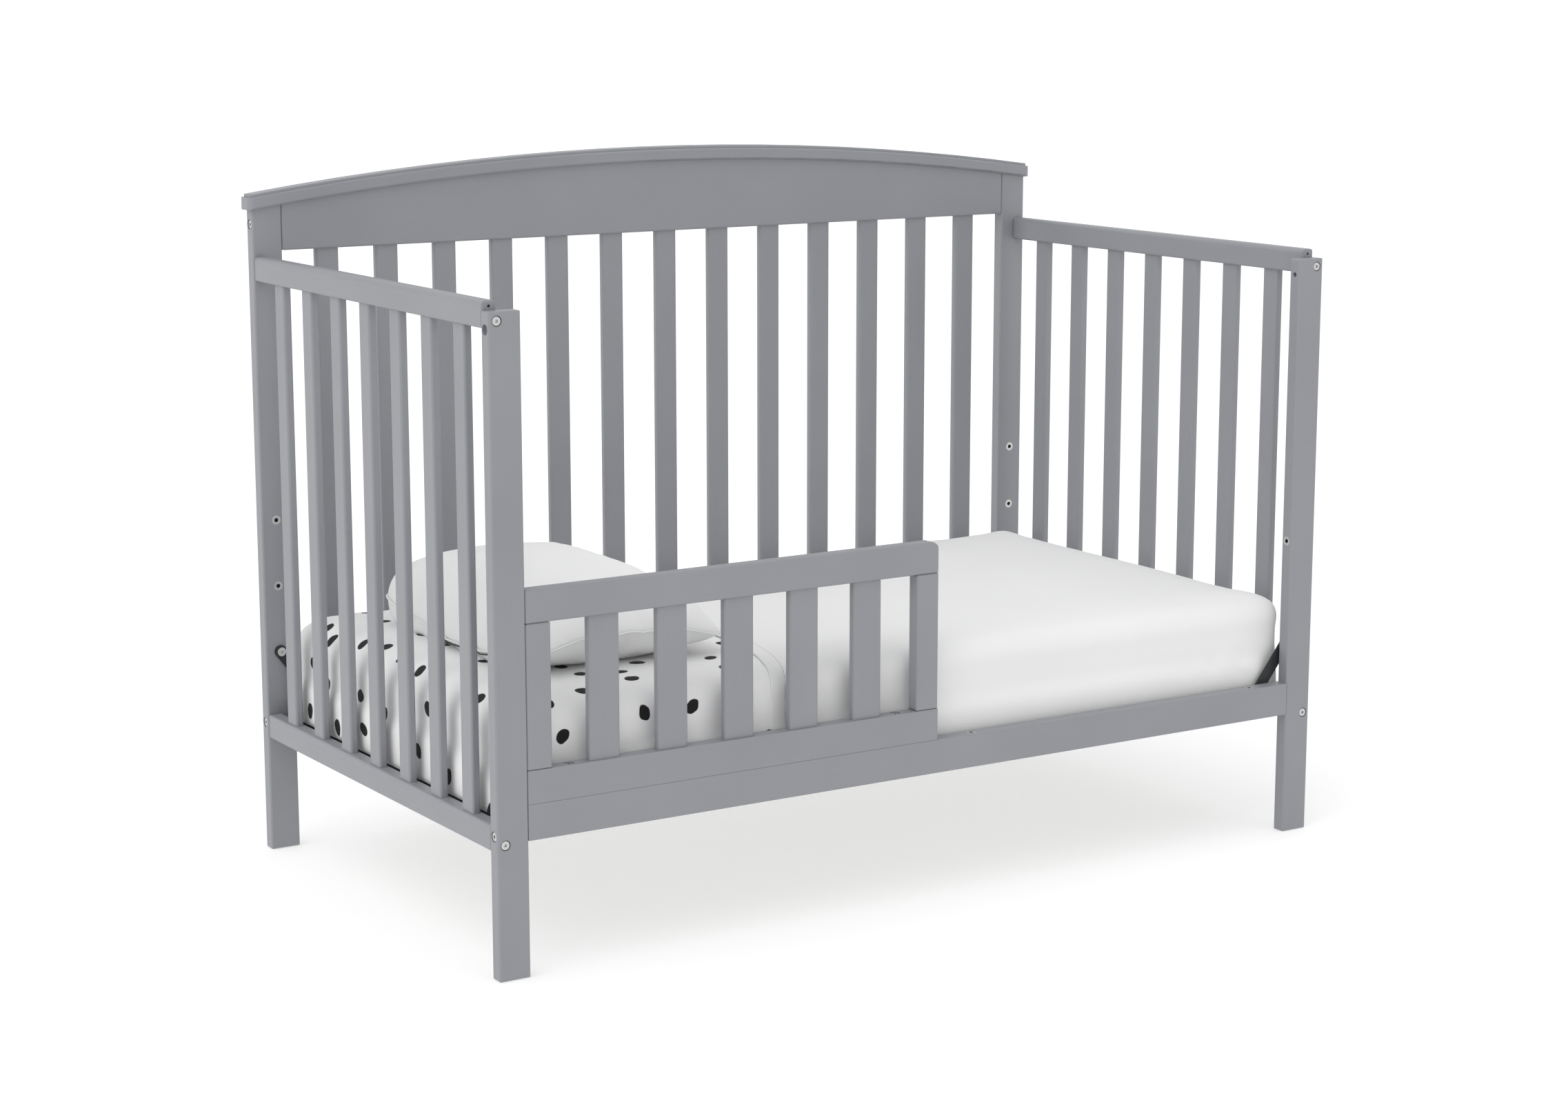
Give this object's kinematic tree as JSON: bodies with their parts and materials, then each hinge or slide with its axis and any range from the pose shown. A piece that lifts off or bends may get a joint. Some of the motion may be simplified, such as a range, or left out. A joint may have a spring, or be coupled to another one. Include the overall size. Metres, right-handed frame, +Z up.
{
  "type": "toddler bed",
  "caption": "Low wooden bed with slatted ends, an arched slatted back, an open front with a short guardrail, and a made-up mattress on a hung steel frame.",
  "frame": {"origin": "on the floor, in the middle of the bed's footprint, the cap rail's overhang included", "axes": "+X along the bed to the foot end, +Y from the open front to the arched back, +Z up"},
  "size_m": [1.384, 0.7586, 1.0129],
  "materials": {
    "grey_paint": "satin",
    "black_steel": "satin",
    "plated_steel": "satin",
    "ticking": "matte",
    "sheet": "matte",
    "coverlet": "matte",
    "pillow": "matte"
  },
  "bodies": {
    "bed": {"front_post_left": "grey_paint", "front_post_right": "grey_paint", "back_post_left": "grey_paint", "back_post_right": "grey_paint", "arch_panel": "grey_paint", "cap_rail": "grey_paint", "back_bottom_rail": "grey_paint", "back_slat_1": "grey_paint", "back_slat_2": "grey_paint", "back_slat_3": "grey_paint", "back_slat_4": "grey_paint", "back_slat_5": "grey_paint", "back_slat_6": "grey_paint", "back_slat_7": "grey_paint", "back_slat_8": "grey_paint", "back_slat_9": "grey_paint", "back_slat_10": "grey_paint", "back_slat_11": "grey_paint", "back_slat_12": "grey_paint", "back_slat_13": "grey_paint", "left_top_rail": "grey_paint", "left_bottom_rail": "grey_paint", "right_top_rail": "grey_paint", "right_bottom_rail": "grey_paint", "left_slat_1": "grey_paint", "left_slat_2": "grey_paint", "left_slat_3": "grey_paint", "left_slat_4": "grey_paint", "left_slat_5": "grey_paint", "left_slat_6": "grey_paint", "left_slat_7": "grey_paint", "right_slat_1": "grey_paint", "right_slat_2": "grey_paint", "right_slat_3": "grey_paint", "right_slat_4": "grey_paint", "right_slat_5": "grey_paint", "right_slat_6": "grey_paint", "right_slat_7": "grey_paint", "front_rail": "grey_paint", "guard_top_rail": "grey_paint", "guard_bottom_rail": "grey_paint", "guard_left_stile": "grey_paint", "guard_right_stile": "grey_paint", "guard_slat_1": "grey_paint", "guard_slat_2": "grey_paint", "guard_slat_3": "grey_paint", "guard_slat_4": "grey_paint", "guard_slat_5": "grey_paint", "support_frame": "black_steel", "deck_cross_wires": "black_steel", "deck_long_wires": "black_steel", "hanger_arms": "black_steel", "hanger_screws": "plated_steel", "arm_rivets": "plated_steel", "threaded_inserts": "plated_steel", "frame_bolts": "plated_steel"},
    "mattress": {"mattress": "ticking", "fitted_sheet": "sheet", "coverlet": "coverlet"},
    "pillow": {"pillow": "pillow"}
  },
  "joints": [
    {"name": "mattress_lift", "type": "slide", "parent": "bed", "child": "mattress", "axis": [0, 0, 1], "range_m": [0, 0.55]},
    {"name": "pillow_lift", "type": "slide", "parent": "mattress", "child": "pillow", "axis": [0, 0, 1], "range_m": [0, 0.35]}
  ]
}
